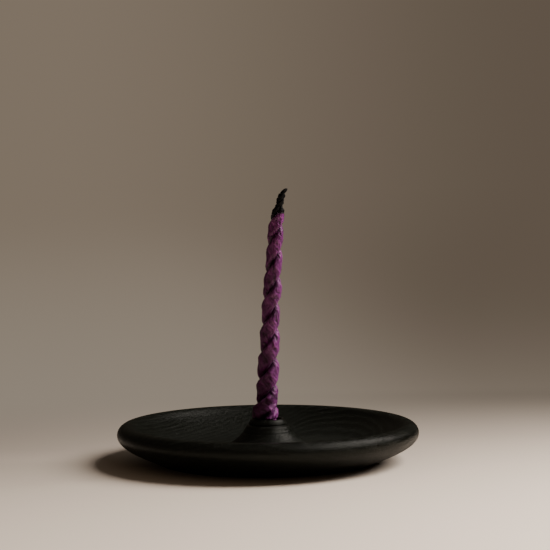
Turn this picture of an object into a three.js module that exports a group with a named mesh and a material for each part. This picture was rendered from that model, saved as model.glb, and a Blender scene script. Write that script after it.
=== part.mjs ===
// Incense burner: a turned wooden dish with a socket in its middle, and a stick of two-strand paper rope
// incense that stands in the socket with its upper end burnt. Millimetres, +Z up. The origin is the centre
// of the dish's flat foot.
import * as THREE from 'three';

// Dish, outside.
const DISH_RADIUS = 60;
const FOOT_RADIUS = 43.8;
const WIDEST_HEIGHT = 11;
const RIM_CREST_RADIUS = 55.8;
const RIM_CREST_HEIGHT = 15;

// Dish, bowl. The floor is a flat ring between the boss and the rise to the rim.
const BOWL_FLOOR_HEIGHT = 5;
const BOWL_FLOOR_INNER_RADIUS = 19.5;
const BOWL_FLOOR_OUTER_RADIUS = 26;
const RIM_SHOULDER_RADIUS = 51;
const RIM_SHOULDER_HEIGHT = 12.4;

// Boss in the middle of the bowl: a flared skirt, a shallow groove and a round bead lip around the socket.
const SKIRT_TOP_RADIUS = 8.5;
const SKIRT_TOP_HEIGHT = 13.75;
const GROOVE_RADIUS = 7.25;
const GROOVE_HEIGHT = 14.3;
const LIP_RADIUS = 6.4;
const LIP_HALF_WIDTH = 1.2;
const LIP_MIDDLE_HEIGHT = 15.2;
const LIP_HALF_HEIGHT = 1.5;
const SOCKET_CORNER = 0.5;
const SOCKET_FLOOR_HEIGHT = 8.4;

// Handles of the dish's curves: how far outwards and up each control point lies from its end of the curve.
const FOOT_HANDLE = [5.7, 2.9];
const WIDEST_HANDLE = [0, -5];
const CREST_HANDLE = [-2, 0];
const SHOULDER_RIM_HANDLE = [1.6, 1];
const SHOULDER_BOWL_HANDLE = [-7, -4.4];
const FLOOR_OUTER_HANDLE = [9, 0];
const FLOOR_INNER_HANDLE = [-2.6, 0.4];
const SKIRT_HANDLE = [2.8, -5.8];
const LIP_ARC_START = -Math.PI / 6;

// Rope: two strands that wind round each other once in about 21 mm, right-handed, and lean a little.
const GAP = 0.3;
const ROPE_BOTTOM = SOCKET_FLOOR_HEIGHT + GAP;
const CHAR_BOTTOM = 97.5;
const ROPE_TOP = 108;
const HALF_TURN = 10.6;
const SEAM_HEIGHT = 26.7;
const RADIUS_LOW = 4.3;
const RADIUS_LOW_HEIGHT = 24;
const RADIUS_HIGH = 3;
const RADIUS_HIGH_HEIGHT = 92;
const SOCKET_SQUEEZE = 0.91;
const SPLAY = 0.7;
const SPLAY_HEIGHT = 18.8;
const SPLAY_SPREAD = 1.3;
const LEAN = 0.0605;
const LEAN_START_HEIGHT = 14;
const LEAN_START_X = -0.75;

// Burnt end: a shoulder that narrows to a thin twisted stub, which bends over at its tip.
const SHOULDER_TAPER = 3;
const SHOULDER_TOP = 101;
const STUB_RADIUS = 1.25;
const STUB_HALF_TURN = 5.2;
const TIP_RADIUS = 0.4;
const TIP_TAPER = 3;
const TIP_BEND = 2.9;
const TIP_BEND_HEIGHT = 102;
const SHORTER_TIP = 1.8;

// Strand section. It is D-shaped: flat where it lies against the other strand and round outside. Its breadth,
// the paper's thickness and the play of the filling are fractions of the rope's radius.
const STRAND_BREADTH = 0.73;
const STRAND_FLATNESS = 0.55;
const WRAP_THICKNESS = 0.1;
const FILLING_PLAY = 0.14;

// Facets.
const DISH_FACETS = 48;
const CURVE_POINTS = 5;
const WRAP_POINTS = 12;
const FILLING_POINTS = 8;
const ROPE_STEP = 1.65;
const BURNT_STEP = 0.8;

const WOOD = { color: 0x15140f, roughness: 0.5, metalness: 0 };
const PAPER = { color: 0x611f55, roughness: 0.55, metalness: 0 };
const POWDER = { color: 0x5b3a22, roughness: 0.95, metalness: 0 };
const CHAR = { color: 0x0c0b0b, roughness: 0.85, metalness: 0 };

function mix(from, to, share) {
  return from + (to - from) * share;
}

function smoothShare(height, start, end) {
  return THREE.MathUtils.smoothstep(height, start, end);
}

// Adds a curve from the profile's present end, given as start, with a handle at each end.
function curveTo(profile, start, startHandle, endHandle, end) {
  profile.bezierCurveTo(
    start[0] + startHandle[0], start[1] + startHandle[1],
    end[0] + endHandle[0], end[1] + endHandle[1],
    end[0], end[1],
  );
}

// The turned profile of the dish, from the middle of the underside round to the middle of the socket floor.
function dishProfile() {
  const foot = [FOOT_RADIUS, 0];
  const widest = [DISH_RADIUS, WIDEST_HEIGHT];
  const crest = [RIM_CREST_RADIUS, RIM_CREST_HEIGHT];
  const shoulder = [RIM_SHOULDER_RADIUS, RIM_SHOULDER_HEIGHT];
  const floorOuter = [BOWL_FLOOR_OUTER_RADIUS, BOWL_FLOOR_HEIGHT];
  const floorInner = [BOWL_FLOOR_INNER_RADIUS, BOWL_FLOOR_HEIGHT];
  const skirtTop = [SKIRT_TOP_RADIUS, SKIRT_TOP_HEIGHT];
  const socketRadius = LIP_RADIUS - LIP_HALF_WIDTH;
  const profile = new THREE.Path();
  profile.moveTo(0, 0);
  profile.lineTo(...foot);
  curveTo(profile, foot, FOOT_HANDLE, WIDEST_HANDLE, widest);
  const rimWidth = DISH_RADIUS - RIM_CREST_RADIUS;
  const rimHeight = RIM_CREST_HEIGHT - WIDEST_HEIGHT;
  profile.absellipse(RIM_CREST_RADIUS, WIDEST_HEIGHT, rimWidth, rimHeight, 0, Math.PI / 2);
  curveTo(profile, crest, CREST_HANDLE, SHOULDER_RIM_HANDLE, shoulder);
  curveTo(profile, shoulder, SHOULDER_BOWL_HANDLE, FLOOR_OUTER_HANDLE, floorOuter);
  profile.lineTo(...floorInner);
  curveTo(profile, floorInner, FLOOR_INNER_HANDLE, SKIRT_HANDLE, skirtTop);
  profile.lineTo(GROOVE_RADIUS, GROOVE_HEIGHT);
  profile.absellipse(LIP_RADIUS, LIP_MIDDLE_HEIGHT, LIP_HALF_WIDTH, LIP_HALF_HEIGHT, LIP_ARC_START, Math.PI);
  profile.lineTo(socketRadius, SOCKET_FLOOR_HEIGHT + SOCKET_CORNER);
  profile.lineTo(socketRadius - SOCKET_CORNER, SOCKET_FLOOR_HEIGHT);
  profile.lineTo(0, SOCKET_FLOOR_HEIGHT);
  return profile.getPoints(CURVE_POINTS);
}

function dish() {
  const geometry = new THREE.LatheGeometry(dishProfile(), DISH_FACETS);
  geometry.rotateX(Math.PI / 2);
  return geometry;
}

// Half the width of the rope across both strands at a height.
function ropeRadius(height) {
  const share = (height - RADIUS_LOW_HEIGHT) / (RADIUS_HIGH_HEIGHT - RADIUS_LOW_HEIGHT);
  const squeeze = mix(SOCKET_SQUEEZE, 1, smoothShare(height, SOCKET_FLOOR_HEIGHT, SPLAY_HEIGHT));
  const taper = squeeze * mix(RADIUS_LOW, RADIUS_HIGH, Math.max(share, 0));
  const fromSplay = (height - SPLAY_HEIGHT) / SPLAY_SPREAD;
  const splay = SPLAY * Math.exp(-0.5 * fromSplay * fromSplay);
  const inShoulder = smoothShare(height, CHAR_BOTTOM - SHOULDER_TAPER, SHOULDER_TOP);
  const shoulder = mix(taper + splay, STUB_RADIUS, inShoulder);
  return mix(shoulder, TIP_RADIUS, smoothShare(height, ROPE_TOP - TIP_TAPER, ROPE_TOP));
}

// The middle of the rope at a height, along X.
function ropeMiddle(height) {
  const lean = LEAN_START_X + LEAN * Math.max(height - LEAN_START_HEIGHT, 0);
  const pastBend = Math.max(height - TIP_BEND_HEIGHT, 0) / (ROPE_TOP - TIP_BEND_HEIGHT);
  return lean + TIP_BEND * pastBend * pastBend;
}

// How far the strands have wound round each other at a height. The thin stub is wound more tightly.
function ropeTurn(height) {
  const belowStub = Math.min(height, SHOULDER_TOP);
  const inStub = Math.max(height - SHOULDER_TOP, 0);
  return Math.PI * ((belowStub - SEAM_HEIGHT) / HALF_TURN + inStub / STUB_HALF_TURN);
}

// The outline of one strand for a rope of radius 1 whose middle is at x = 0, with a margin taken off inside.
function strandOutline(Outline, points, margin) {
  const outline = new Outline();
  for (let i = 0; i < points; i += 1) {
    const angle = (2 * Math.PI * (i + 0.5)) / points;
    const across = Math.cos(angle);
    const flattened = across < 0 ? -(Math.abs(across) ** STRAND_FLATNESS) : across;
    const x = 0.5 + (0.5 - margin) * flattened;
    const y = (STRAND_BREADTH - margin) * Math.sin(angle);
    if (i === 0) outline.moveTo(x, y);
    else outline.lineTo(x, y);
  }
  outline.closePath();
  return outline;
}

// Extrudes a strand outline upwards, then scales, winds and leans each level of it. The flat side stands off
// the rope's middle by the gap.
function woundStrand(outline, bottom, top, step, startAngle) {
  const depth = top - bottom;
  const steps = Math.ceil(depth / step);
  const geometry = new THREE.ExtrudeGeometry(outline, { depth, steps, bevelEnabled: false });
  const position = geometry.getAttribute('position');
  const point = new THREE.Vector3();
  const up = new THREE.Vector3(0, 0, 1);
  for (let i = 0; i < position.count; i += 1) {
    point.fromBufferAttribute(position, i);
    const height = bottom + point.z;
    const radius = ropeRadius(height);
    point.set(GAP + (radius - GAP) * point.x, radius * point.y, height);
    point.applyAxisAngle(up, startAngle + ropeTurn(height));
    point.x += ropeMiddle(height);
    position.setXYZ(i, point.x, point.y, point.z);
  }
  geometry.computeVertexNormals();
  return geometry;
}

// The paper is a tube, open at both ends, with the powder inside it.
function wrap(startAngle) {
  const outline = strandOutline(THREE.Shape, WRAP_POINTS, 0);
  outline.holes.push(strandOutline(THREE.Path, FILLING_POINTS, WRAP_THICKNESS));
  return woundStrand(outline, ROPE_BOTTOM, CHAR_BOTTOM - GAP, ROPE_STEP, startAngle);
}

function filling(startAngle) {
  const outline = strandOutline(THREE.Shape, FILLING_POINTS, WRAP_THICKNESS + FILLING_PLAY);
  return woundStrand(outline, ROPE_BOTTOM, CHAR_BOTTOM - GAP, ROPE_STEP, startAngle);
}

function burntEnd(startAngle, top) {
  const outline = strandOutline(THREE.Shape, FILLING_POINTS, 0);
  return woundStrand(outline, CHAR_BOTTOM, top, BURNT_STEP, startAngle);
}

function part(name, geometry, look) {
  const mesh = new THREE.Mesh(geometry, new THREE.MeshStandardMaterial(look));
  mesh.name = name;
  return mesh;
}

function ropeIncense() {
  const rope = new THREE.Group();
  const strands = [
    { name: 'strand_1', startAngle: 0, top: ROPE_TOP },
    { name: 'strand_2', startAngle: Math.PI, top: ROPE_TOP - SHORTER_TIP },
  ];
  for (const { name, startAngle, top } of strands) {
    rope.add(part(`${name}_paper_wrap`, wrap(startAngle), PAPER));
    rope.add(part(`${name}_powder_filling`, filling(startAngle), POWDER));
    rope.add(part(`${name}_burnt_end`, burntEnd(startAngle, top), CHAR));
  }
  return rope;
}

const burner = new THREE.Group();
burner.add(part('dish', dish(), WOOD));
burner.add(ropeIncense());

export default burner;
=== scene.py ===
"""The looks of the incense burner: a black-stained turned dish and a stick of twisted paper rope incense.

Metres, in the CAD's frame. Sizes that are easier to read in millimetres are multiplied by MM where
they go into a mesh.
"""

import math

import bpy
import numpy as np
from mathutils import Matrix, Vector

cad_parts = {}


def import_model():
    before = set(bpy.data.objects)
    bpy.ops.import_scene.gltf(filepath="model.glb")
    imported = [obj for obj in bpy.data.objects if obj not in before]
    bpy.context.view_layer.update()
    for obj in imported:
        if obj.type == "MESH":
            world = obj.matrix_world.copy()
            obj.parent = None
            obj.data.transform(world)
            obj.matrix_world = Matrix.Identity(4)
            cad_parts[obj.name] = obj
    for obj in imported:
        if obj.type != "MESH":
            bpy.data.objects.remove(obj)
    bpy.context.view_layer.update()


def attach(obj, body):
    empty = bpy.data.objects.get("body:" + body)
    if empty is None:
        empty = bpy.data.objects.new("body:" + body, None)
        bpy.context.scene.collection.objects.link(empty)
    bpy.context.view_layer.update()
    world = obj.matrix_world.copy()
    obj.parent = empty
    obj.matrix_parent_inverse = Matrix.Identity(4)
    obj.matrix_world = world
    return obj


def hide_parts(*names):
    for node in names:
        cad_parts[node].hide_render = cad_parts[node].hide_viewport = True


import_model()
MM = 0.001
TURN = 2 * math.pi

# Dish, in mm, as radius and height. The CAD's outline in finer steps, with a rounded foot edge, a rounder
# lip and a cut line. A handle is how far a curve's control point lies from that end of the curve.
DISH_RADIUS = 60.0
WIDEST_HEIGHT = 11.0
FOOT_RADIUS = 43.8
FOOT_EDGE = 0.5
WALL_FOOT_HANDLE = (5.3, 2.8)
WALL_RIM_HANDLE = (0.0, -5.0)
RIM_CREST = (55.8, 15.0)
CREST_HANDLE = (-2.0, 0.0)
RIM_SHOULDER = (51.0, 12.4)
SHOULDER_RIM_HANDLE = (1.6, 1.0)
SHOULDER_BOWL_HANDLE = (-7.0, -4.4)
BOWL_FLOOR_HEIGHT = 5.0
BOWL_FLOOR_RADII = (26.0, 19.5)
FLOOR_OUTER_HANDLE = (9.0, 0.0)
FLOOR_INNER_HANDLE = (-2.6, 0.4)
SKIRT_TOP = (8.5, 13.75)
SKIRT_HANDLE = (2.8, -5.8)
GROOVE = (7.5, 14.3)
LIP_EDGE = (7.58, 14.6)
LIP_EDGE_HANDLE = (0.0, 0.4)
LIP_CREST = (6.1, 16.62)
LIP_OUTER_HANDLE = (0.85, 0.0)
LIP_INNER_HANDLE = (-0.5, 0.0)
LIP_WALL_HEIGHT = 15.7
LIP_WALL_HANDLE = (0.0, 0.6)
SOCKET_RADIUS = 5.2
SOCKET_FLOOR_HEIGHT = 8.4
SOCKET_CORNER = 0.5
CUT_LINE_HEIGHT = 11.4
CUT_LINE_WIDTH = 0.16
CUT_LINE_DEPTH = 0.14
TOOL_RIPPLE_DEPTH = 0.012
TOOL_RIPPLE_PITCH = 1.3
TOOL_RIPPLE_SEED = 11
WEAR_POINTS = 5
WEAR_GAIN = 3
POLE_RADIUS = 0.4
PROFILE_STEP = 0.3
DISH_SEGMENTS = 208

# Rope, in mm. Where the two strands lie side by side: the height, half the rope's width there, the mean
# breadth of a strand as a share of that half width, and how far the rope's middle is from the dish's axis.
SIDE_BY_SIDE = (
    (8.0, 3.9, 0.80, -0.5),
    (17.8, 4.4, 0.90, -0.9),
    (26.4, 4.2, 0.80, -0.1),
    (36.6, 4.25, 0.74, 0.35),
    (47.8, 3.9, 0.70, 1.15),
    (58.6, 3.45, 0.76, 1.6),
    (68.8, 3.6, 0.72, 2.25),
    (79.6, 3.15, 0.76, 3.0),
    (90.2, 3.15, 0.74, 3.75),
    (99.0, 2.45, 0.86, 4.75),
    (108.7, 2.0, 0.88, 6.9),
)
STATION_ROUNDING = 2.0
TURN_ROUNDING = 1.2
FINE_STEP = 0.25
FINE_TOP = 116.0
FRONT_BREADTH = 0.14
CROSSING_SWAY = 0.22
STRAND_FLATNESS = 0.8
STRAND_STANDOFF = 0.01
STRAND_PRESS = 0.08
SELF_TWIST = 0.34

# The rope's foot, in mm: squeezed in the socket, splayed over the lip just above it.
LIP_CLEARANCE_HEIGHT = 16.78
SOCKET_SQUEEZE = 0.87
SPLAY_FULL_HEIGHT = 17.15
SPLAY_TOP = 23.5
SPLAY_LEFT = 1.2
SPLAY_RIGHT = 0.3
SPLAY_DEPTH = 1.1

# Crumpled paper, in mm. Each layer of facets: how many go round a strand, their height and their depth.
FACETS = ((9, 4.6, 0.18), (17, 2.6, 0.15), (37, 1.5, 0.11))
FACET_SEEDS = (20, 30, 40)
FACET_WANDER = 0.5
FACET_DRIFT = 0.03
SLOW_SEED = 50
CRUMPLE_FULL_WIDTH = 3.5
CRUMPLE_OUTSIDE = (-0.75, -0.1)

# Slow noise on the paper: how fast it changes round the strand and along it, and its own shift.
SWELL = (0.7, 0.16, 0.0)
DRIFT = (1.6, 0.37, 7.7)
PLEATS = (4.2, 0.3, 11.9)
LONG_CREASES = (1.5, 0.2, 31.3)
SHORT_CREASES = (3.0, 0.45, 0.0)
SWELL_DEPTH = 0.16
PLEAT_DEPTH = 0.13
PLEAT_LEVEL = 0.4
LONG_CREASE_DEPTH = 0.3
LONG_CREASE_WIDTH = 0.045
SHORT_CREASE_DEPTH = 0.2
SHORT_CREASE_WIDTH = 0.06

# Paper wraps and powder, in mm. WRAP_TOPS and CHAR_REACH have one value for each strand.
ROPE_BOTTOM = 8.7
WRAP_TOPS = (98.8, 97.9)
CHAR_REACH = (1.0, 3.4)
CHAR_CORE = 0.35
PAPER_THICKNESS = 0.22
PAPER_ROLL_RADIUS = 2
# SEAM_SHADE is painted shade where the two strands meet; INNER_SHADE is painted shade on the inside of a
# wrap.
SEAM_SHADE = 0.25
SEAM_REACH = (0.1, -0.4)
INNER_SHADE = -0.2
RAGGED_REACH = 2.5
RAGGED_DEPTH = 0.55
RAGGED_LOSS = 0.25
RAGGED_NOTCHES = 2.2
RAGGED_SHIFT = 3.3
FILLING_BOTTOM = 8.85
FILLING_TOP = 96.0
FILLING_INSET = 0.52

# Burnt end, in mm. Strand 1's tip goes on alone above strand 2's, and moves over to the rope's middle.
END_BOTTOM = 96.3
END_TOPS = (107.9, 106.0)
END_INSET = 0.24
END_CLEAR_OF_WRAP = 0.3
END_DOME = 0.2
SHOULDER_BOTTOM = 99.2
STUB_BOTTOM = 100.9
STUB_RADIUS = 1.45
STUB_HALF_TURN = 3.6
TIP_RADIUS = 1.1
TIP_START = 107.0
TIP_BEND = 1.25
TIP_BEND_START = 104.6
TIP_BEND_POWER = 1.5
LONE_TIP_HEIGHTS = (105.2, 106.2)
LONE_TIP_SHIFT = 0.5

# Mesh steps of the rope: heights in mm, and points round a strand.
WRAP_STEP = 0.25
WRAP_AROUND = 88
FILLING_STEP = 1.0
FILLING_AROUND = 32
END_STEP = 0.11
END_AROUND = 72
CURL_ROWS = 7

# Wood, in metres. A stretch is how fast a pattern changes along the grain and across it, or for the tool
# marks, with the radius and the height. RING_WANDER is in rings.
GRAIN_DIRECTION = math.radians(60)
PITH_DEPTH = 0.055
PITH_ASIDE = 0.018
RING_SPACING = 0.0021
RING_WANDER = 3.4
WANDER_STRETCH = (9.0, 40.0, 40.0)
PORE_STRETCH = (110.0, 3300.0, 3300.0)
FIBRE_STRETCH = (110.0, 1000.0, 1000.0)
TOOL_MARK_STRETCH = (2100.0, 900.0, 1.0)
EARLY_WOOD_RISE = (0.0, 0.06)
EARLY_WOOD_FALL = (0.1, 0.75)
PORE_EDGE = (0.52, 0.66)
TOOL_PATCH_SCALE = 70.0
TOOL_PATCH_EDGE = (0.35, 0.7)
TOOL_PATCH_LEAST = 0.3
RUB_PATCH_SCALE = 160.0
RUB_PATCH_EDGE = (0.42, 0.7)
STAIN_EDGE = (0.25, 0.8)
WALL_HEIGHTS = (0.006, 0.011)
WALL_DULLNESS = 0.22
WOOD_RELIEF = 0.00017
STAIN_DARK = (0.0014, 0.0017, 0.0012)
STAIN_MID = (0.0040, 0.0046, 0.0034)
STAIN_WORN = (0.012, 0.0100, 0.0078)

# Paper and powder, in metres. A stretch is how fast a pattern changes across the roll and along it.
STREAK_STRETCH = (2600.0, 2600.0, 160.0)
THREAD_STRETCH = (6500.0, 6500.0, 420.0)
FLAKE_STRETCH = (1500.0, 1500.0, 900.0)
MOTTLE_SCALE = 420.0
POWDER_GRAIN_SCALE = 3800.0
POWDER_LUMP_SCALE = 900.0
# The next two set where the paper's painted shade in the folds and painted highlight on the ridges begin.
FOLD_PAINTED_SHADE_EDGE = (-0.1, 0.65)
RIDGE_PAINTED_HIGHLIGHT_EDGE = (0.6, 1.1)
SCORCH_EDGE = (0.5, 0.72)
CHAR_EDGE = (0.66, 0.9)
CHAR_GLOSS_EDGE = (0.6, 0.9)
ASH_FOLD_EDGE = (0.02, 0.2)
ASH_FLAKE_EDGE = (0.52, 0.75)
POWDER_EDGE = (0.35, 0.75)
PAPER_RELIEF = 0.00012
FLAKE_RELIEF = 0.0001
POWDER_RELIEF = 0.00015
# The first colour is painted shade in the folds and the third a painted highlight on the ridges; the body
# colour is the paper's own.
PAPER_FOLD_PAINTED_SHADE = (0.015, 0.0034, 0.0130)
PAPER_BODY = (0.095, 0.0145, 0.083)
PAPER_RIDGE_PAINTED_HIGHLIGHT = (0.19, 0.038, 0.160)
SCORCH = (0.040, 0.012, 0.010)
CHAR_DARK = (0.0032, 0.0030, 0.0029)
CHAR_ASH = (0.012, 0.0115, 0.011)
POWDER_DARK = (0.045, 0.021, 0.010)
POWDER_PALE = (0.20, 0.105, 0.052)

# Camera, in metres and degrees.
CAMERA_PLACE = (0.0, -0.6926, 0.1098)
CAMERA_DOWN = 2.98
CAMERA_RIGHT = 0.276
CAMERA_ROLL = -0.52
CAMERA_LENS = 114.4
CAMERA_REACH = 40.0

# Lamps, in metres, watts and degrees. One shapes the shadow and the other makes the highlights.
KEY_DIRECTION = (17.0, 41.0)
KEY_SIZE = (0.5, 0.68)
KEY_POWER = 41.0
KEY_COLOR = (1.0, 0.975, 0.93)
GLOSS_DIRECTION = (0.0, 48.0)
GLOSS_SIZE = (1.2, 0.7)
GLOSS_POWER = 12.5
GLOSS_COLOR = (1.0, 0.88, 0.84)
LAMP_DISTANCE = 1.1

# Room: its colours from left to right, and how strongly it lights the object from each height and depth.
BACKDROP_LIGHT = (0.215, 0.172, 0.128)
BACKDROP_DARK = (0.122, 0.094, 0.069)
BACKDROP_TURN = (-0.13, 0.17)
BACKDROP_DISTANCE = 0.7
SKY_HEIGHTS = (0.0, 0.6)
SKY_FILL = (0.22, 0.6)
SKY_DEPTHS = (-0.4, 0.4)
SKY_FRONT_TO_BACK = (1.9, 0.55)

# Floor, in metres: a painted pool of light on pale paper round the object, fading into a painted glow of
# haze and backdrop colour.
FLOOR_HALF = 30.0
FLOOR_DROP = 0.00005
FLOOR_COLOR = (0.93, 0.77, 0.64)
FLOOR_FILL = 0.4
# The POOL values shape a pool of light painted into the floor's colour.
POOL_SIDE = 0.12
POOL_SLOPE = 2.35
POOL_FRONT_TO_BACK = (-0.25, 0.22)
POOL_EDGE = (0.35, 0.9)
GLOW_BEHIND = (-0.02, 0.22)
GLOW_SET_BACK = 0.03
GLOW_EDGE = (0.3, 0.8)
# GLOW_NEAR and GLOW_LEAST make a faint painted glow from just beyond the dish's edge, which lifts its
# shadow.
GLOW_NEAR = (0.056, 0.084)
GLOW_LEAST = 0.12
HAZE_REACH = 1.3
HAZE_COLOR = (0.30, 0.252, 0.20)
HAZE_LOSS_RIGHT = 3.5


# ---------------------------------------------------------------- noise

class SmoothNoise:
    """Gradient noise in three dimensions, about -1 to 1."""

    CELLS = 256
    GAIN = 1.6

    def __init__(self, seed):
        draw = np.random.RandomState(seed)
        self.order = draw.permutation(self.CELLS)
        slopes = draw.normal(size=(self.CELLS, 3))
        self.slopes = slopes / np.linalg.norm(slopes, axis=1)[:, None]

    def slope_at(self, cell):
        mixed = self.order[cell[..., 0] % self.CELLS]
        mixed = self.order[(mixed + cell[..., 1]) % self.CELLS]
        return self.slopes[self.order[(mixed + cell[..., 2]) % self.CELLS]]

    def __call__(self, points):
        cell = np.floor(points).astype(int)
        part = points - cell
        fade = part ** 3 * (part * (part * 6 - 15) + 10)
        total = np.zeros(points.shape[:-1])
        for corner in np.ndindex(2, 2, 2):
            corner = np.array(corner)
            weight = np.prod(np.where(corner == 1, fade, 1 - fade), axis=-1)
            total += weight * np.sum(self.slope_at(cell + corner) * (part - corner), axis=-1)
        return total * self.GAIN


class FacetNoise:
    """Flat facets with sharp folds between them, as in crumpled paper. It repeats once around."""

    ROWS = 512

    def __init__(self, seed, around):
        self.around = around
        self.heights = np.random.RandomState(seed).uniform(-1, 1, (self.ROWS, around))

    def corner(self, row, column):
        return self.heights[row % self.ROWS, column % self.around]

    def __call__(self, column, row):
        i, j = np.floor(column).astype(int), np.floor(row).astype(int)
        across, along = column - i, row - j
        low, high = self.corner(j, i), self.corner(j + 1, i + 1)
        right, above = self.corner(j, i + 1), self.corner(j + 1, i)
        lower = low + across * (right - low) + along * (high - right)
        upper = low + along * (above - low) + across * (high - above)
        return np.where(across > along, lower, upper)


# ---------------------------------------------------------------- meshes

def smoothstep(start, end, value):
    share = np.clip((value - start) / (end - start), 0, 1)
    return share * share * (3 - 2 * share)


def bump_at(value, middle, spread):
    return np.exp(-0.5 * ((value - middle) / spread) ** 2)


def mesh_piece(name, points, faces, material, floats=None, vectors=None):
    """A smooth-shaded mesh object from points in mm, with named values for its material."""
    mesh = bpy.data.meshes.new(name)
    mesh.from_pydata((points * MM).tolist(), [], faces)
    for key, values in (floats or {}).items():
        layer = mesh.attributes.new(key, "FLOAT", "POINT")
        layer.data.foreach_set("value", values.astype(np.float32))
    for key, values in (vectors or {}).items():
        layer = mesh.attributes.new(key, "FLOAT_VECTOR", "POINT")
        layer.data.foreach_set("vector", values.astype(np.float32).ravel())
    mesh.materials.append(material)
    mesh.update()
    mesh.shade_smooth()
    piece = bpy.data.objects.new(name, mesh)
    bpy.context.scene.collection.objects.link(piece)
    return piece


def band_faces(rows, columns, start=0):
    """The faces between successive rings of points, each ring closed on itself."""
    faces = []
    for row in range(rows - 1):
        below = start + row * columns
        above = below + columns
        for i in range(columns):
            j = (i + 1) % columns
            faces.append((below + i, below + j, above + j, above + i))
    return faces


def closed_faces(rows, columns):
    """The faces of a stack of rings, with a fan at each end to the two poles listed after the rings."""
    faces = band_faces(rows, columns)
    last = (rows - 1) * columns
    under, over = rows * columns, rows * columns + 1
    for i in range(columns):
        j = (i + 1) % columns
        faces.append((under, j, i))
        faces.append((over, last + i, last + j))
    return faces


# ---------------------------------------------------------------- dish

def curve(start, start_handle, end_handle, end, count):
    """Points along a cubic curve, without its start."""
    t = np.linspace(0, 1, count + 1)[1:, None]
    a, d = np.array(start), np.array(end)
    b, c = a + start_handle, d + end_handle
    return (1 - t) ** 3 * a + 3 * (1 - t) ** 2 * t * b + 3 * (1 - t) * t * t * c + t ** 3 * d


def quarter_arc(centre, half_size, count):
    """Points along a quarter of an ellipse, from its outermost point, which is left out, to its top."""
    angle = np.linspace(0, math.pi / 2, count + 1)[1:]
    return np.stack([centre[0] + half_size[0] * np.cos(angle), centre[1] + half_size[1] * np.sin(angle)], 1)


def line(start, end, count):
    """Points along a straight line, without its start."""
    return np.linspace(start, end, count + 1)[1:]


def respace(points, step):
    """The same line with points at even steps along it."""
    length = np.concatenate([[0], np.cumsum(np.linalg.norm(np.diff(points, axis=0), axis=1))])
    even = np.linspace(0, length[-1], int(length[-1] / step) + 1)
    return np.stack([np.interp(even, length, points[:, 0]), np.interp(even, length, points[:, 1])], 1)


def body_profile():
    """The outline from near the middle of the underside, out and round to the top of the skirt.

    The last value of each line and curve is its number of points.
    """
    foot_end = (FOOT_RADIUS - FOOT_EDGE, 0.0)
    edge_reach, edge_rise = 0.8 * FOOT_EDGE, 0.6 * FOOT_EDGE
    wall_start = (FOOT_RADIUS + edge_reach, edge_rise)
    rim_centre = (RIM_CREST[0], WIDEST_HEIGHT)
    rim_size = (DISH_RADIUS - RIM_CREST[0], RIM_CREST[1] - WIDEST_HEIGHT)
    floor_outer, floor_inner = [(radius, BOWL_FLOOR_HEIGHT) for radius in BOWL_FLOOR_RADII]
    return np.concatenate([
        line((POLE_RADIUS, 0.0), foot_end, 60),
        curve(foot_end, (FOOT_EDGE, 0.0), (-edge_reach, -edge_rise), wall_start, 8),
        curve(wall_start, WALL_FOOT_HANDLE, WALL_RIM_HANDLE, (DISH_RADIUS, WIDEST_HEIGHT), 60),
        quarter_arc(rim_centre, rim_size, 40),
        curve(RIM_CREST, CREST_HANDLE, SHOULDER_RIM_HANDLE, RIM_SHOULDER, 30),
        curve(RIM_SHOULDER, SHOULDER_BOWL_HANDLE, FLOOR_OUTER_HANDLE, floor_outer, 80),
        line(floor_outer, floor_inner, 20),
        curve(floor_inner, FLOOR_INNER_HANDLE, SKIRT_HANDLE, SKIRT_TOP, 80),
    ])


def lip_profile():
    """The outline from the top of the skirt over the lip and down to near the middle of the socket."""
    wall_top = (SOCKET_RADIUS, LIP_WALL_HEIGHT)
    wall_foot = (SOCKET_RADIUS, SOCKET_FLOOR_HEIGHT + SOCKET_CORNER)
    floor_edge = (SOCKET_RADIUS - SOCKET_CORNER, SOCKET_FLOOR_HEIGHT)
    return np.concatenate([
        line(SKIRT_TOP, GROOVE, 5),
        line(GROOVE, LIP_EDGE, 3),
        curve(LIP_EDGE, LIP_EDGE_HANDLE, LIP_OUTER_HANDLE, LIP_CREST, 16),
        curve(LIP_CREST, LIP_INNER_HANDLE, LIP_WALL_HANDLE, wall_top, 8),
        line(wall_top, wall_foot, 16),
        line(wall_foot, floor_edge, 4),
        line(floor_edge, (POLE_RADIUS, SOCKET_FLOOR_HEIGHT), 14),
    ])


def turned_profile():
    """The whole outline with its cut line and tool ripples, and how worn each point of it is, 0 to 1."""
    body = respace(body_profile(), PROFILE_STEP)
    profile = np.concatenate([body, lip_profile()])
    along = np.gradient(profile, axis=0)
    along /= np.linalg.norm(along, axis=1)[:, None]
    outward = np.stack([along[:, 1], -along[:, 0]], 1)
    bend = np.gradient(np.unwrap(np.arctan2(along[:, 1], along[:, 0])))
    wear = np.clip(np.convolve(bend, np.ones(WEAR_POINTS) / WEAR_POINTS, "same") * WEAR_GAIN, 0, 1)

    radius, height = profile.T
    on_body = np.arange(len(profile)) < len(body)
    on_skirt = on_body & (radius < BOWL_FLOOR_RADII[1])
    cut = CUT_LINE_DEPTH * bump_at(height, CUT_LINE_HEIGHT, CUT_LINE_WIDTH) * on_skirt
    rippled = on_body & (height > BOWL_FLOOR_HEIGHT - TOOL_RIPPLE_DEPTH)
    where = np.stack([radius / TOOL_RIPPLE_PITCH, 0 * radius, 0 * radius], 1)
    ripple = TOOL_RIPPLE_DEPTH * SmoothNoise(TOOL_RIPPLE_SEED)(where) * rippled
    return profile + outward * (ripple - cut)[:, None], wear


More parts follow.
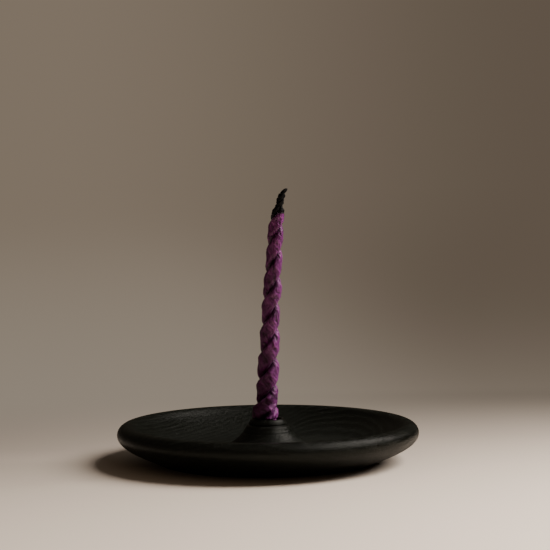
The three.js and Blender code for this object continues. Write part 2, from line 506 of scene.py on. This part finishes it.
def dish(material):
    profile, wear = turned_profile()
    rows = len(profile)
    angle = np.arange(DISH_SEGMENTS) * TURN / DISH_SEGMENTS
    points = np.empty((rows, DISH_SEGMENTS, 3))
    points[:, :, 0] = profile[:, :1] * np.cos(angle)
    points[:, :, 1] = profile[:, :1] * np.sin(angle)
    points[:, :, 2] = profile[:, 1:]
    poles = np.array([[0, 0, 0], [0, 0, SOCKET_FLOOR_HEIGHT]])
    points = np.concatenate([points.reshape(-1, 3), poles])
    wear = np.concatenate([np.repeat(wear, DISH_SEGMENTS), [0, 0]])
    faces = closed_faces(rows, DISH_SEGMENTS)
    return mesh_piece("dish_turned_wood", points, faces, material, {"wear": wear})


# ---------------------------------------------------------------- rope

STATIONS = np.array(SIDE_BY_SIDE)
FINE_HEIGHTS = np.arange(0.0, FINE_TOP, FINE_STEP)


def station_line(values, rounding=STATION_ROUNDING):
    """Values at the fine heights, on a line through the stations with its corners rounded off."""
    straight = np.interp(FINE_HEIGHTS, STATIONS[:, 0], values)
    reach = int(4 * rounding / FINE_STEP)
    weights = bump_at(np.arange(-reach, reach + 1) * FINE_STEP, 0, rounding)
    return np.convolve(np.pad(straight, reach, mode="edge"), weights / weights.sum(), "valid")


# A strand makes half a turn from each station to the next, and the count starts at -1 down in the socket.
HALF_WIDTHS, BREADTHS, MIDDLES = (station_line(STATIONS[:, column]) for column in (1, 2, 3))
HALF_TURNS = station_line(np.arange(len(STATIONS)) - 1.0, TURN_ROUNDING)


def rope_turn(height):
    """How far the strands have turned round each other, in radians."""
    in_stub = np.maximum(height - STUB_BOTTOM, 0)
    return math.pi * (np.interp(height, FINE_HEIGHTS, HALF_TURNS) + in_stub / STUB_HALF_TURN)


def rope_half_width(height):
    """From the rope's middle to the outside of a strand."""
    body = np.interp(height, FINE_HEIGHTS, HALF_WIDTHS)
    in_stub = smoothstep(SHOULDER_BOTTOM, STUB_BOTTOM, height)
    squeezed = 1 - (1 - SOCKET_SQUEEZE) * smoothstep(SPLAY_FULL_HEIGHT, LIP_CLEARANCE_HEIGHT, height)
    stub = (body + (STUB_RADIUS - body) * in_stub) * squeezed
    return stub + (TIP_RADIUS - stub) * smoothstep(TIP_START, END_TOPS[0], height)


def rope_middle(height):
    """How far the rope's middle is from the dish's axis."""
    past = np.maximum(height - TIP_BEND_START, 0) / (END_TOPS[0] - TIP_BEND_START)
    sway = CROSSING_SWAY * np.sin(rope_turn(height)) ** 2 * (height < STUB_BOTTOM)
    return np.interp(height, FINE_HEIGHTS, MIDDLES) - sway + TIP_BEND * past ** TIP_BEND_POWER


def splay_share(height):
    """How far the foot is splayed: not at all at the lip, fully just above it, then less and less."""
    opened = smoothstep(LIP_CLEARANCE_HEIGHT, SPLAY_FULL_HEIGHT, height)
    return opened * smoothstep(SPLAY_TOP, SPLAY_FULL_HEIGHT, height)


class Strand:
    """One of the two strands: its shape at any height and angle round its own middle."""

    def __init__(self, number):
        self.number = number
        self.start = 0.0 if number == 1 else math.pi
        self.facets = [FacetNoise(seed + number, layer[0]) for seed, layer in zip(FACET_SEEDS, FACETS)]
        self.slow = SmoothNoise(SLOW_SEED + number)

    def surface(self, height, angle, inset=0.0, crumple=1.0):
        """Points of the strand's skin, moved in by the inset, and their painted shade and place on the
        paper.
        """
        turn = self.start + rope_turn(height)
        twist = angle + turn + SELF_TWIST * height
        folds, swell = self.folds(height, twist)
        size = np.minimum(rope_half_width(height) / CRUMPLE_FULL_WIDTH, 1) ** 2
        outside = smoothstep(*CRUMPLE_OUTSIDE, np.cos(angle))
        raised = crumple * size * outside * (folds + SWELL_DEPTH * swell) - inset
        out, aside = self.section(height, turn, angle, raised, inset)
        place = np.stack([
            rope_middle(height) + out * np.cos(turn) - aside * np.sin(turn),
            out * np.sin(turn) + aside * np.cos(turn),
            height,
        ], -1)
        # Painted light: crease heights give painted highlights on ridges and painted shade in folds, and
        # SEAM_SHADE adds painted shade where the strands meet.
        shade = folds - SEAM_SHADE * smoothstep(*SEAM_REACH, np.cos(angle))
        fibre = np.stack([PAPER_ROLL_RADIUS * np.cos(twist), PAPER_ROLL_RADIUS * np.sin(twist), height], -1)
        return place, shade, fibre

    def section(self, height, turn, angle, raised, inset):
        """How far a point of the skin lies out from the rope's middle, and how far aside."""
        across, beside = np.cos(angle), np.sin(angle)
        flattened = np.where(across < 0, -np.abs(across) ** STRAND_FLATNESS, across)
        half_width = rope_half_width(height)
        inner = STRAND_STANDOFF - STRAND_PRESS * half_width
        rise = half_width - inner
        out = inner + rise * (0.5 + 0.5 * flattened) + raised * flattened
        out = np.maximum(out, STRAND_STANDOFF + inset)
        if self.number == 1:
            out = out - LONE_TIP_SHIFT * rise * smoothstep(*LONE_TIP_HEIGHTS, height)
        breadth = np.interp(height, FINE_HEIGHTS, BREADTHS) - FRONT_BREADTH * np.sin(turn)
        aside = half_width * breadth * beside + raised * beside

        splay = splay_share(height)
        sideways = np.where(np.cos(turn) < 0, SPLAY_LEFT, SPLAY_RIGHT) * np.abs(np.cos(turn))
        out = out + splay * sideways * np.maximum(flattened, 0)
        return out, aside + splay * SPLAY_DEPTH * beside

    def folds(self, height, twist):
        """How far the crumpled paper stands out in mm, and the slow swell of the powder under it."""
        round_at = np.stack([np.cos(twist), np.sin(twist), 0 * twist], -1)
        up = np.stack([0 * height, 0 * height, height], -1)

        def slow(around, along, shift):
            return self.slow(around * round_at + along * up + shift)

        swell, drift = slow(*SWELL), slow(*DRIFT)
        column = twist / TURN + FACET_DRIFT * drift
        folds = 0
        for facets, (around, pitch, depth), wander in zip(self.facets, FACETS, (drift, swell, 0)):
            folds = folds + depth * facets(column * around, height / pitch + FACET_WANDER * wander)
        folds = folds + PLEAT_DEPTH * (PLEAT_LEVEL - np.abs(slow(*PLEATS)))
        folds = folds - LONG_CREASE_DEPTH * bump_at(slow(*LONG_CREASES), 0, LONG_CREASE_WIDTH)
        folds = folds - SHORT_CREASE_DEPTH * bump_at(slow(*SHORT_CREASES), 0, SHORT_CREASE_WIDTH)
        return folds, swell


def height_grid(bottom, top, step, around):
    """Heights at even steps, with closer ones where the splayed foot curls in over the lip."""
    rows = int(math.ceil((top - bottom) / step)) + 1
    curl = np.linspace(LIP_CLEARANCE_HEIGHT, SPLAY_FULL_HEIGHT, CURL_ROWS)
    heights = np.linspace(bottom, top, rows)
    heights = np.union1d(heights, curl[(curl > bottom) & (curl < top)])
    angles = np.arange(around) * TURN / around
    return np.meshgrid(heights, angles, indexing="ij")


def ragged(height, angle, top, strand):
    """Pulls the burnt edge of a paper wrap up and down."""
    near_edge = smoothstep(top - RAGGED_REACH, top, height)
    notches = RAGGED_NOTCHES * np.stack([np.cos(angle), np.sin(angle)], -1)
    shift = np.full(angle.shape + (1,), RAGGED_SHIFT)
    edge = strand.slow(np.concatenate([notches, shift], -1))
    return height + near_edge * (RAGGED_DEPTH * edge - RAGGED_LOSS)


def paper_wrap(strand, material):
    """A tube of paper: its outer skin, its inner skin and the two rims that join them."""
    top = WRAP_TOPS[strand.number - 1]
    height, angle = height_grid(ROPE_BOTTOM, top, WRAP_STEP, WRAP_AROUND)
    height = ragged(height, angle, top, strand)
    outer, folds, fibre = strand.surface(height, angle)
    inner, _, _ = strand.surface(height, angle, inset=PAPER_THICKNESS)
    rows, around = height.shape
    count = rows * around
    faces = band_faces(rows, around)
    faces += [face[::-1] for face in band_faces(rows, around, start=count)]
    last = (rows - 1) * around
    for i in range(around):
        j = (i + 1) % around
        faces.append((j, i, count + i, count + j))
        faces.append((last + i, last + j, count + last + j, count + last + i))
    points = np.concatenate([outer.reshape(-1, 3), inner.reshape(-1, 3)])
    # Painted shade: the inner skin gets a darker value, as if in shadow.
    folds = np.concatenate([folds.ravel(), np.full(count, INNER_SHADE)])
    fibre = np.tile(fibre.reshape(-1, 3), (2, 1)) * MM
    reach = CHAR_REACH[strand.number - 1]
    char = 1 - smoothstep(CHAR_CORE * reach, reach, top - np.tile(height.ravel(), 2))
    name = f"strand_{strand.number}_twisted_paper"
    return mesh_piece(name, points, faces, material, {"fold_and_painted_shade": folds, "char": char}, {"fibre": fibre})


def closed_core(name, strand, grid, inset, crumple, material):
    """A solid core with the strand's shape, flat underneath and closed with a low dome on top."""
    height, angle = grid
    points, folds, fibre = strand.surface(height, angle, inset=inset, crumple=crumple)
    poles = np.stack([points[0].mean(0), points[-1].mean(0)])
    poles[1, 2] += END_DOME
    points = np.concatenate([points.reshape(-1, 3), poles])
    folds = np.concatenate([folds.ravel(), [0, 0]])
    fibre = np.concatenate([fibre.reshape(-1, 3), poles]) * MM
    faces = closed_faces(*height.shape)
    return mesh_piece(name, points, faces, material, {"fold_and_painted_shade": folds}, {"fibre": fibre})


def powder_filling(strand, material):
    grid = height_grid(FILLING_BOTTOM, FILLING_TOP, FILLING_STEP, FILLING_AROUND)
    name = f"strand_{strand.number}_ground_powder"
    return closed_core(name, strand, grid, FILLING_INSET, 0.0, material)


def burnt_end(strand, material):
    """The charred core, which fills out to the strand's full width where it leaves the paper wrap."""
    grid = height_grid(END_BOTTOM, END_TOPS[strand.number - 1], END_STEP, END_AROUND)
    wrap_top = WRAP_TOPS[strand.number - 1]
    in_wrap = smoothstep(wrap_top + END_CLEAR_OF_WRAP, wrap_top - END_CLEAR_OF_WRAP, grid[0])
    name = f"strand_{strand.number}_charred_tip"
    return closed_core(name, strand, grid, END_INSET * in_wrap, 1.0, material)


# ---------------------------------------------------------------- materials

class Look:
    """A node material, or the world, with short ways to add and join nodes."""

    def __init__(self, owner):
        owner.use_nodes = True
        self.tree = owner.node_tree
        self.tree.nodes.clear()

    def node(self, kind, inputs=None, **settings):
        made = self.tree.nodes.new(kind)
        for key, value in settings.items():
            setattr(made, key, value)
        for key, value in (inputs or {}).items():
            self.feed(made.inputs[key], value)
        return made

    def feed(self, socket, value):
        if isinstance(value, bpy.types.NodeSocket):
            self.tree.links.new(value, socket)
        else:
            socket.default_value = value

    def math(self, operation, *values):
        return self.node("ShaderNodeMath", dict(enumerate(values)), operation=operation).outputs[0]

    def blend(self, base, *layers):
        """A base value plus layers, each given as its value and its weight."""
        for value, weight in layers:
            base = self.math("MULTIPLY_ADD", value, weight, base)
        return base

    def axes(self, vector):
        return self.node("ShaderNodeSeparateXYZ", {0: vector}).outputs

    def length(self, vector):
        return self.node("ShaderNodeVectorMath", {0: vector}, operation="LENGTH").outputs["Value"]

    def noise(self, vector, scale=1.0, detail=2.0, roughness=0.5):
        inputs = {"Vector": vector, "Scale": scale, "Detail": detail, "Roughness": roughness}
        return self.node("ShaderNodeTexNoise", inputs).outputs["Fac"]

    def stretch(self, vector, scale, turn=0.0):
        inputs = {"Vector": vector, "Scale": scale, "Rotation": (0.0, 0.0, turn)}
        return self.node("ShaderNodeMapping", inputs).outputs["Vector"]

    def spread(self, value, low, high, to_low=0.0, to_high=1.0):
        """Maps low..high smoothly to to_low..to_high."""
        inputs = {"Value": value, "From Min": low, "From Max": high, "To Min": to_low, "To Max": to_high}
        return self.node("ShaderNodeMapRange", inputs, interpolation_type="SMOOTHSTEP").outputs["Result"]

    def mix(self, share, first, second):
        """A colour from first to second."""
        made = self.node("ShaderNodeMix", data_type="RGBA")
        self.feed(made.inputs[0], share)
        self.feed(made.inputs[6], rgba(first))
        self.feed(made.inputs[7], rgba(second))
        return made.outputs[2]

    def attribute(self, name, output="Fac"):
        return self.node("ShaderNodeAttribute", attribute_name=name).outputs[output]

    def bump(self, height, distance):
        return self.node("ShaderNodeBump", {"Height": height, "Distance": distance}).outputs["Normal"]

    def principled(self, inputs):
        shader = self.node("ShaderNodeBsdfPrincipled", inputs)
        self.node("ShaderNodeOutputMaterial", {"Surface": shader.outputs[0]})


def rgba(value):
    return (*value, 1.0) if isinstance(value, tuple) else value


def early_wood(look, grain):
    """The soft, open part of each growth ring, 0 to 1. The pith runs along the grain, under the dish."""
    _, aside, height = look.axes(grain)
    aside = look.math("ADD", aside, PITH_ASIDE)
    deep = look.math("ADD", height, PITH_DEPTH)
    squares = look.math("ADD", look.math("MULTIPLY", aside, aside), look.math("MULTIPLY", deep, deep))
    rings = look.math("DIVIDE", look.math("SQRT", squares), RING_SPACING)
    wander = look.noise(look.stretch(grain, WANDER_STRETCH), detail=3.0)
    ring = look.math("FRACT", look.blend(rings, (wander, RING_WANDER)))
    rise, fall = look.spread(ring, *EARLY_WOOD_RISE), look.spread(ring, *EARLY_WOOD_FALL, 1.0, 0.0)
    return look.math("MULTIPLY", rise, fall)


def tool_marks(look, place, height):
    """Fine circles left by the turning tool, clearer in some patches than in others."""
    flat = look.node("ShaderNodeVectorMath", {0: place, 1: (1.0, 1.0, 0.0)}, operation="MULTIPLY")
    reach = look.length(flat.outputs[0])
    turned = look.node("ShaderNodeCombineXYZ", {0: reach, 1: height}).outputs[0]
    marks = look.noise(look.stretch(turned, TOOL_MARK_STRETCH), detail=3.0, roughness=0.6)
    patches = look.spread(look.noise(place, TOOL_PATCH_SCALE), *TOOL_PATCH_EDGE, TOOL_PATCH_LEAST, 1.0)
    return look.math("MULTIPLY", marks, patches)


def stained_wood():
    """Open-grained wood under a thin black stain: growth rings, pores, tool marks and rubbed edges."""
    material = bpy.data.materials.new("stained_wood")
    look = Look(material)
    place = look.node("ShaderNodeTexCoord").outputs["Object"]
    grain = look.stretch(place, (1.0, 1.0, 1.0), -GRAIN_DIRECTION)
    _, _, height = look.axes(place)
    early = early_wood(look, grain)
    pores = look.spread(look.noise(look.stretch(grain, PORE_STRETCH), roughness=0.6), *PORE_EDGE)
    pore = look.math("MULTIPLY", pores, look.blend(0.35, (early, 0.35)))
    fibres = look.noise(look.stretch(grain, FIBRE_STRETCH), detail=4.0, roughness=0.6)
    patches = look.spread(look.noise(place, RUB_PATCH_SCALE, 4.0, 0.6), *RUB_PATCH_EDGE)
    rub = look.math("MULTIPLY", look.attribute("wear"), patches)
    wall = look.spread(height, *WALL_HEIGHTS, 1.0, 0.0)
    tool = tool_marks(look, place, height)

    tone = look.blend(0.0, (early, 0.3), (fibres, 0.75))
    color = look.mix(look.spread(tone, *STAIN_EDGE), STAIN_DARK, STAIN_MID)
    color = look.mix(look.blend(0.0, (pore, 0.7)), color, STAIN_DARK)
    color = look.mix(look.blend(0.0, (rub, 0.55)), color, STAIN_WORN)
    roughness = look.blend(0.2, (fibres, 0.25), (pore, 0.15), (rub, -0.08), (wall, WALL_DULLNESS))
    relief = look.blend(0.0, (early, -0.05), (fibres, 0.75), (pore, -0.5), (tool, 0.5))
    look.principled({
        "Base Color": color, "Roughness": roughness, "Normal": look.bump(relief, WOOD_RELIEF),
        "IOR": 1.46, "Specular IOR Level": 0.2, "Specular Tint": (0.92, 1.0, 0.92, 1.0),
    })
    return material


def dyed_paper():
    """Hand-made magenta violet paper, burnt on top: painted highlights on ridges, painted shade in folds.
    """
    material = bpy.data.materials.new("dyed_paper")
    look = Look(material)
    fibre = look.attribute("fibre", "Vector")
    streaks = look.noise(look.stretch(fibre, STREAK_STRETCH), detail=4.0, roughness=0.62)
    threads = look.noise(look.stretch(fibre, THREAD_STRETCH))
    mottle = look.noise(fibre, MOTTLE_SCALE, 3.0, 0.55)

    # Painted light: crease heights and seam shade, with the paper's own streaks and mottle, move the colour
    # between painted shade in the folds, the body colour and a painted highlight on the ridges.
    tone_and_painted_light = look.blend(0.0, (streaks, 0.9), (look.attribute("fold_and_painted_shade"), 1.5), (mottle, 0.35))
    color = look.mix(look.spread(tone_and_painted_light, *FOLD_PAINTED_SHADE_EDGE), PAPER_FOLD_PAINTED_SHADE, PAPER_BODY)
    color = look.mix(look.spread(tone_and_painted_light, *RIDGE_PAINTED_HIGHLIGHT_EDGE), color, PAPER_RIDGE_PAINTED_HIGHLIGHT)
    burn = look.blend(look.attribute("char"), (mottle, 0.7))
    color = look.mix(look.spread(burn, *SCORCH_EDGE), color, SCORCH)
    color = look.mix(look.spread(burn, *CHAR_EDGE), color, CHAR_DARK)
    roughness = look.blend(0.2, (streaks, 0.25), (look.spread(burn, *CHAR_GLOSS_EDGE), 0.3))
    relief = look.blend(0.0, (threads, 0.35), (streaks, 0.7))
    look.principled({
        "Base Color": color, "Roughness": roughness, "Normal": look.bump(relief, PAPER_RELIEF),
        "IOR": 1.5, "Specular IOR Level": 0.36, "Specular Tint": (1.0, 0.8, 0.96, 1.0),
        "Sheen Weight": 0.06, "Sheen Roughness": 0.4, "Sheen Tint": (1.0, 0.6, 0.9, 1.0),
    })
    return material


def charred_paper():
    """Carbonised paper: matt black flakes with a few ash-grey edges."""
    material = bpy.data.materials.new("charred_paper")
    look = Look(material)
    fibre = look.attribute("fibre", "Vector")
    flakes = look.noise(look.stretch(fibre, FLAKE_STRETCH), detail=4.0, roughness=0.65)
    edges = look.spread(look.attribute("fold_and_painted_shade"), *ASH_FOLD_EDGE)
    ash = look.math("MULTIPLY", edges, look.spread(flakes, *ASH_FLAKE_EDGE))
    look.principled({
        "Base Color": look.mix(look.blend(0.0, (ash, 0.6)), CHAR_DARK, CHAR_ASH),
        "Roughness": look.blend(0.5, (flakes, 0.3)),
        "IOR": 1.5, "Specular IOR Level": 0.12, "Normal": look.bump(flakes, FLAKE_RELIEF),
    })
    return material


def ground_powder():
    """Brown powder of bark and herbs, pressed into a core."""
    material = bpy.data.materials.new("ground_powder")
    look = Look(material)
    fibre = look.attribute("fibre", "Vector")
    grains = look.noise(fibre, POWDER_GRAIN_SCALE, 4.0, 0.7)
    lumps = look.noise(fibre, POWDER_LUMP_SCALE)
    tone = look.blend(0.0, (grains, 0.7), (lumps, 0.4))
    look.principled({
        "Base Color": look.mix(look.spread(tone, *POWDER_EDGE), POWDER_DARK, POWDER_PALE),
        "Roughness": look.blend(0.85, (grains, 0.1)),
        "Normal": look.bump(tone, POWDER_RELIEF),
    })
    return material


# ---------------------------------------------------------------- stage

def backdrop_color(look, rightness):
    return look.mix(look.spread(rightness, *BACKDROP_TURN), BACKDROP_LIGHT, BACKDROP_DARK)


def dimmer(look, fill):
    """Full strength where the camera sees it, and the given strength as a source of light."""
    seen = look.node("ShaderNodeLightPath").outputs["Is Camera Ray"]
    return look.math("MAXIMUM", seen, fill)


def floor_paper_with_painted_pool(look, x, y, reach):
    """Pale paper with a painted pool of light, brightest in front and to the right, which ends some way
    off.
    """
    aside = look.node("ShaderNodeClamp", {"Value": x, "Min": -POOL_SIDE, "Max": POOL_SIDE}).outputs[0]
    across = look.math("EXPONENT", look.blend(-POOL_SLOPE * POOL_SIDE, (aside, POOL_SLOPE)))
    front = look.spread(y, *POOL_FRONT_TO_BACK, 1.0, 0.0)
    near = look.spread(reach, *POOL_EDGE, 1.0, 0.0)
    pool = look.math("MULTIPLY", across, look.math("MULTIPLY", front, near))
    return look.node("ShaderNodeBsdfDiffuse", {"Color": look.mix(pool, (0.0, 0.0, 0.0), FLOOR_COLOR)})


def floor_painted_glow(look, x, y, reach):
    """Painted light: the floor glows behind the object, far off and faintly beyond the dish, turning into
    the backdrop's own colour further off.
    """
    distance = look.math("SQRT", look.blend(BACKDROP_DISTANCE ** 2, (reach, reach)))
    rightness = look.math("DIVIDE", x, distance)
    right_share = look.spread(rightness, *BACKDROP_TURN)
    depth = look.blend(y, (right_share, -GLOW_SET_BACK))
    glow = look.math("MAXIMUM", look.spread(depth, *GLOW_BEHIND), look.spread(reach, *GLOW_EDGE))
    glow = look.math("MAXIMUM", glow, look.spread(reach, *GLOW_NEAR, 0.0, GLOW_LEAST))
    loss = look.blend(1.0, (look.math("MULTIPLY", right_share, right_share), HAZE_LOSS_RIGHT))
    haze = look.math("EXPONENT", look.math("MULTIPLY", look.math("DIVIDE", reach, -HAZE_REACH), loss))
    color = look.mix(haze, backdrop_color(look, rightness), HAZE_COLOR)
    strength = look.math("MULTIPLY", glow, dimmer(look, FLOOR_FILL))
    return look.node("ShaderNodeEmission", {"Color": color, "Strength": strength})


def floor_look():
    material = bpy.data.materials.new("stage_floor")
    look = Look(material)
    place = look.node("ShaderNodeNewGeometry").outputs["Position"]
    x, y, _ = look.axes(place)
    reach = look.length(place)
    layers = [layer(look, x, y, reach).outputs[0] for layer in (floor_paper_with_painted_pool, floor_painted_glow)]
    both = look.node("ShaderNodeAddShader", dict(enumerate(layers)))
    look.node("ShaderNodeOutputMaterial", {"Surface": both.outputs[0]})
    return material


def stage_floor():
    mesh = bpy.data.meshes.new("stage_floor")
    corners = [(-1, -1), (1, -1), (1, 1), (-1, 1)]
    points = [(x * FLOOR_HALF, y * FLOOR_HALF, -FLOOR_DROP) for x, y in corners]
    mesh.from_pydata(points, [], [(0, 1, 2, 3)])
    mesh.materials.append(floor_look())
    floor = bpy.data.objects.new("stage_floor", mesh)
    bpy.context.scene.collection.objects.link(floor)


def world():
    """A dim room, paler on the left than on the right, that lights the object more from the front."""
    room = bpy.data.worlds.new("studio")
    bpy.context.scene.world = room
    look = Look(room)
    x, y, z = look.axes(look.node("ShaderNodeTexCoord").outputs["Generated"])
    sky = look.spread(z, *SKY_HEIGHTS, *SKY_FILL)
    fill = look.math("MULTIPLY", sky, look.spread(y, *SKY_DEPTHS, *SKY_FRONT_TO_BACK))
    inputs = {"Color": backdrop_color(look, x), "Strength": dimmer(look, fill)}
    background = look.node("ShaderNodeBackground", inputs)
    look.node("ShaderNodeOutputWorld", {"Surface": background.outputs[0]})


def soft_light(name, direction, size, power, color):
    """A large soft light in a direction given as its azimuth and its height in degrees."""
    light = bpy.data.lights.new(name, "AREA")
    light.shape = "RECTANGLE"
    light.size, light.size_y = size
    light.energy = power
    light.color = color
    lamp = bpy.data.objects.new(name, light)
    around, up = (math.radians(angle) for angle in direction)
    towards = Vector((math.cos(around) * math.cos(up), math.sin(around) * math.cos(up), math.sin(up)))
    lamp.location = towards * LAMP_DISTANCE
    lamp.rotation_euler = towards.to_track_quat("Z", "Y").to_euler()
    lamp.visible_camera = False
    bpy.context.scene.collection.objects.link(lamp)
    return lamp


def camera():
    data = bpy.data.cameras.new("camera")
    data.lens = CAMERA_LENS
    data.clip_end = CAMERA_REACH
    eye = bpy.data.objects.new("camera", data)
    down, right, roll = (math.radians(angle) for angle in (CAMERA_DOWN, CAMERA_RIGHT, CAMERA_ROLL))
    forward = Vector((math.sin(right) * math.cos(down), math.cos(right) * math.cos(down), -math.sin(down)))
    level = forward.cross(Vector((0, 0, 1))).normalized()
    upright = level.cross(forward)
    side = math.cos(roll) * level + math.sin(roll) * upright
    top = math.cos(roll) * upright - math.sin(roll) * level
    turned = Matrix((side, top, -forward)).transposed().to_4x4()
    eye.matrix_world = Matrix.Translation(CAMERA_PLACE) @ turned
    bpy.context.scene.collection.objects.link(eye)
    bpy.context.scene.camera = eye


# ---------------------------------------------------------------- scene

def put(piece, body, node):
    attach(piece, body)
    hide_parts(node)


put(dish(stained_wood()), "burner", "dish")
paper, powder, char = dyed_paper(), ground_powder(), charred_paper()
for number in (1, 2):
    strand = Strand(number)
    put(paper_wrap(strand, paper), "rope_incense", f"strand_{number}_paper_wrap")
    put(powder_filling(strand, powder), "rope_incense", f"strand_{number}_powder_filling")
    put(burnt_end(strand, char), "rope_incense", f"strand_{number}_burnt_end")

stage_floor()
world()
soft_light("key", KEY_DIRECTION, KEY_SIZE, KEY_POWER, KEY_COLOR).visible_glossy = False
soft_light("key_gloss", GLOSS_DIRECTION, GLOSS_SIZE, GLOSS_POWER, GLOSS_COLOR).visible_diffuse = False
camera()
